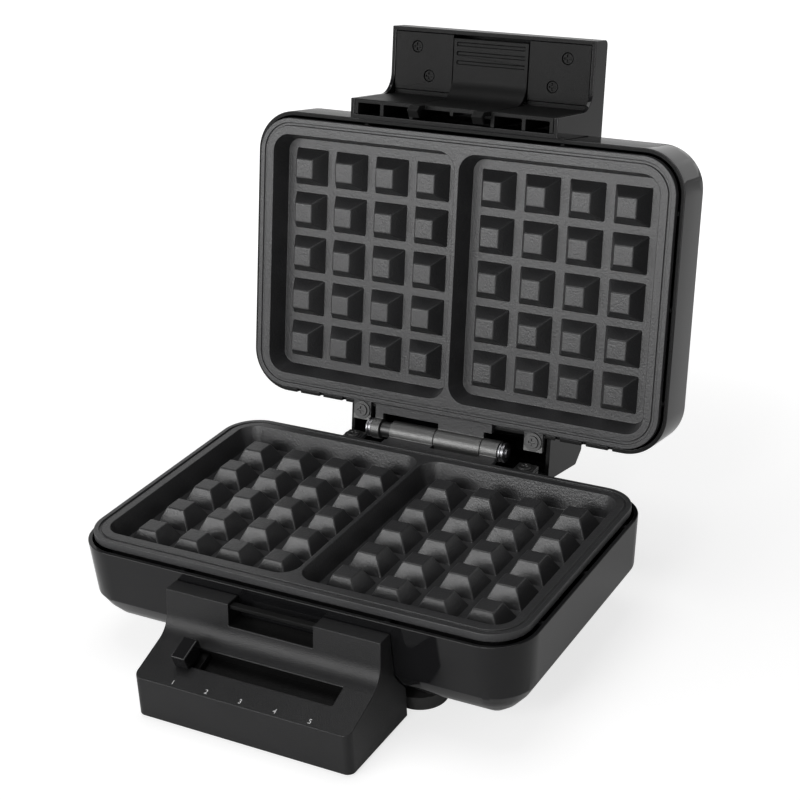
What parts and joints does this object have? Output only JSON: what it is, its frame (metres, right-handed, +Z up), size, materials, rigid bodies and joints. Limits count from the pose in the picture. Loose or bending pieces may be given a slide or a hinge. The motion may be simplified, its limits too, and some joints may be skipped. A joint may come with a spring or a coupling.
{
  "type": "belgian waffle maker",
  "caption": "Countertop cooker with a hinged lid: gridded cast plates with two wells, a latched handle, and a front console with a slider.",
  "frame": {"origin": "on the table, under the middle of the machine as it stands open", "axes": "+X across the machine to the right as seen from the console, +Y from the console to the hinge, +Z up"},
  "size_m": [0.2484, 0.2964, 0.2692],
  "materials": {
    "gloss_black": "polished black moulding",
    "satin_black": "satin black moulding",
    "nonstick": "cast aluminium with a dark grey non-stick coat",
    "steel": "bright steel",
    "sheet": "plain aluminium sheet",
    "painted_sheet": "black painted sheet steel",
    "rubber": "black rubber",
    "board": "green circuit board",
    "ceramic": "pale moulded insulator"
  },
  "bodies": {
    "base": {"base_housing": "gloss_black", "bottom_cover": "painted_sheet", "bottom_screws": "steel", "rear_feet": "rubber", "front_feet": "rubber", "cord_gland": "rubber", "terminal_block": "ceramic", "lower_plate": "nonstick", "lower_pegs": "nonstick", "lower_heater": "steel", "lower_heater_pins": "steel", "lower_heat_shield": "sheet", "lower_heater_straps": "steel", "lower_heat_sensor": "ceramic", "lower_clamp_screws": "steel", "hinge_pin": "steel", "hinge_retainers": "steel", "hinge_spacer": "steel", "console_housing": "satin_black", "console_base": "satin_black", "console_pads": "rubber", "latch_keeper": "painted_sheet", "slider_track": "satin_black", "slide_potentiometer": "satin_black", "control_board": "board"},
    "slider": {"slider_knob": "gloss_black", "slider_carriage": "satin_black"},
    "lid": {"lid_housing": "gloss_black", "upper_plate": "nonstick", "upper_pegs": "nonstick", "upper_heater": "steel", "upper_heater_pins": "steel", "upper_heat_shield": "sheet", "upper_heater_straps": "steel", "upper_heat_sensor": "ceramic", "upper_clamp_screws": "steel", "handle_shell": "gloss_black", "handle_root": "satin_black", "handle_panel_left": "satin_black", "handle_panel_right": "satin_black", "handle_screws": "steel", "latch_pivot_pin": "steel", "latch_spring": "steel"},
    "latch": {"latch_lever": "satin_black"}
  },
  "joints": [
    {"name": "lid_hinge", "type": "hinge", "parent": "base", "child": "lid", "pos_m": [0, 0.06093, 0.0638], "axis": [1, 0, 0], "range_deg": [0, 100.7]},
    {"name": "browning_slide", "type": "slide", "parent": "base", "child": "slider", "axis": [1, 0, 0], "range_m": [0, 0.0756]},
    {"name": "latch_pivot", "type": "hinge", "parent": "lid", "child": "latch", "pos_m": [0, 0.13505, 0.23876], "axis": [-1, 0, 0], "range_deg": [0, 3.5], "stiffness_Nm_per_rad": 0.5, "springref_deg": -8.59}
  ]
}
